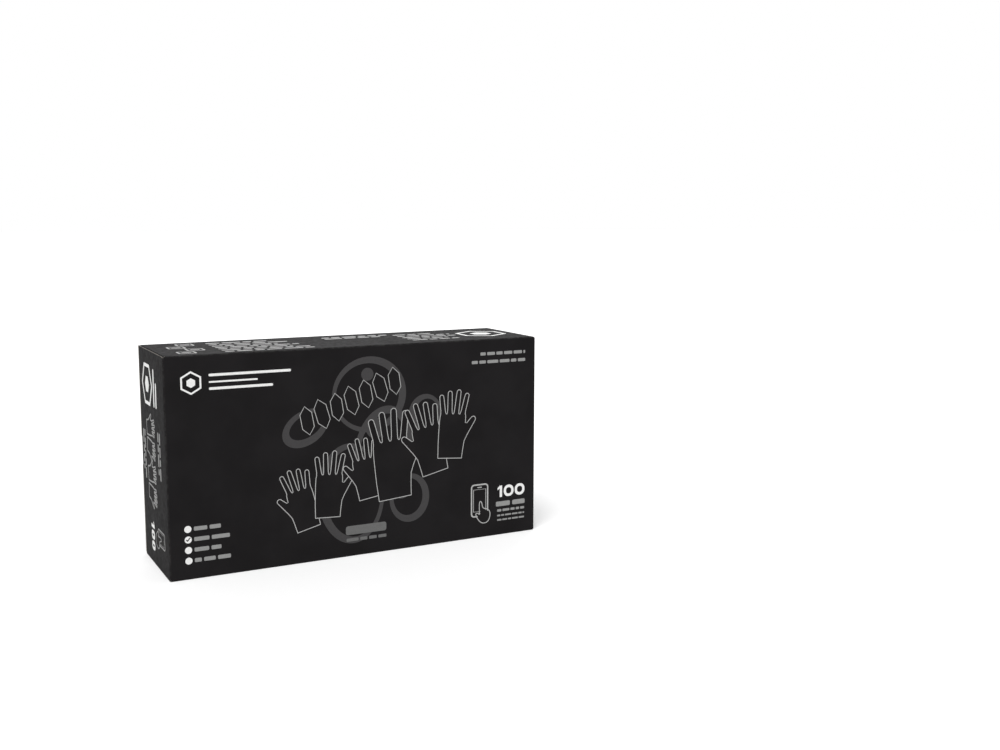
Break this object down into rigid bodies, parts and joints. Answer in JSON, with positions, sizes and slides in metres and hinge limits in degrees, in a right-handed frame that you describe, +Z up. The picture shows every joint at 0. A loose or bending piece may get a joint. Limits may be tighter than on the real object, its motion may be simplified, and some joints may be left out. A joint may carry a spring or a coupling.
{
  "type": "glove box",
  "caption": "Tuck-end paperboard dispenser carton of disposable nitrile gloves, with hinged end closures, dust flaps and a tear-open dispensing window.",
  "frame": {"origin": "middle of the underside, the face that the carton stands on", "axes": "+X along the carton from its left end to its right end, +Y from the printed front to the back with the window, +Z up"},
  "size_m": [0.24, 0.066, 0.13],
  "materials": {
    "printed_board": "satin",
    "board_inside": "matte",
    "white_ink": "satin",
    "grey_ink": "satin",
    "dry_glue": "satin",
    "nitrile": "satin"
  },
  "bodies": {
    "carton": {"front_panel": "printed_board", "back_panel": "printed_board", "top_panel": "printed_board", "bottom_panel": "printed_board", "side_seam_flap": "printed_board", "seam_glue_strip": "dry_glue", "glove_01": "nitrile", "glove_02": "nitrile", "glove_03": "nitrile", "glove_04": "nitrile", "glove_05": "nitrile", "glove_06": "nitrile", "glove_07": "nitrile", "glove_08": "nitrile", "glove_09": "nitrile", "glove_10": "nitrile", "glove_layer_01": "nitrile", "glove_layer_02": "nitrile", "glove_layer_03": "nitrile", "glove_layer_04": "nitrile", "glove_layer_05": "nitrile", "glove_layer_06": "nitrile", "glove_layer_07": "nitrile", "glove_layer_08": "nitrile", "glove_layer_09": "nitrile", "glove_layer_10": "nitrile", "glove_layer_11": "nitrile", "glove_layer_12": "nitrile", "glove_layer_13": "nitrile", "glove_layer_14": "nitrile", "glove_layer_15": "nitrile", "glove_layer_16": "nitrile", "glove_layer_17": "nitrile", "glove_layer_18": "nitrile"},
    "window_flap": {"window_flap": "printed_board"},
    "thumb_tab": {"thumb_tab": "printed_board"},
    "left_closure": {"left_closure_panel": "printed_board"},
    "left_tuck": {"left_tuck_flap": "printed_board"},
    "left_upper_dust": {"left_upper_dust_flap": "printed_board"},
    "left_lower_dust": {"left_lower_dust_flap": "printed_board"},
    "right_closure": {"right_closure_panel": "printed_board"},
    "right_tuck": {"right_tuck_flap": "printed_board"},
    "right_upper_dust": {"right_upper_dust_flap": "printed_board"},
    "right_lower_dust": {"right_lower_dust_flap": "printed_board"}
  },
  "joints": [
    {"name": "window_flap_hinge", "type": "hinge", "parent": "carton", "child": "window_flap", "pos_m": [0, 0.033, 0.095], "axis": [1, 0, 0], "range_deg": [0, 170]},
    {"name": "thumb_tab_hinge", "type": "hinge", "parent": "carton", "child": "thumb_tab", "pos_m": [0, 0.0325, 0.035], "axis": [1, 0, 0], "range_deg": [0, 75]},
    {"name": "left_closure_hinge", "type": "hinge", "parent": "carton", "child": "left_closure", "pos_m": [-0.12, -0.033, 0.065], "axis": [0, 0, 1], "range_deg": [0, 176]},
    {"name": "left_tuck_hinge", "type": "hinge", "parent": "left_closure", "child": "left_tuck", "pos_m": [-0.1195, 0.03175, 0.065], "axis": [0, 0, -1], "range_deg": [0, 30]},
    {"name": "left_upper_dust_hinge", "type": "hinge", "parent": "carton", "child": "left_upper_dust", "pos_m": [-0.11925, 0, 0.13], "axis": [0, 1, 0], "range_deg": [0, 88]},
    {"name": "left_lower_dust_hinge", "type": "hinge", "parent": "carton", "child": "left_lower_dust", "pos_m": [-0.11925, 0, 0], "axis": [0, -1, 0], "range_deg": [0, 88]},
    {"name": "right_closure_hinge", "type": "hinge", "parent": "carton", "child": "right_closure", "pos_m": [0.12, -0.033, 0.065], "axis": [0, 0, -1], "range_deg": [0, 176]},
    {"name": "right_tuck_hinge", "type": "hinge", "parent": "right_closure", "child": "right_tuck", "pos_m": [0.1195, 0.03175, 0.065], "axis": [0, 0, 1], "range_deg": [0, 30]},
    {"name": "right_upper_dust_hinge", "type": "hinge", "parent": "carton", "child": "right_upper_dust", "pos_m": [0.11925, 0, 0.13], "axis": [0, -1, 0], "range_deg": [0, 88]},
    {"name": "right_lower_dust_hinge", "type": "hinge", "parent": "carton", "child": "right_lower_dust", "pos_m": [0.11925, 0, 0], "axis": [0, 1, 0], "range_deg": [0, 88]}
  ],
  "couplings": [
    {"joint": "left_upper_dust_hinge", "follows": "left_closure_hinge", "ratio": 0.5},
    {"joint": "left_lower_dust_hinge", "follows": "left_closure_hinge", "ratio": 0.5},
    {"joint": "right_upper_dust_hinge", "follows": "right_closure_hinge", "ratio": 0.5},
    {"joint": "right_lower_dust_hinge", "follows": "right_closure_hinge", "ratio": 0.5}
  ]
}
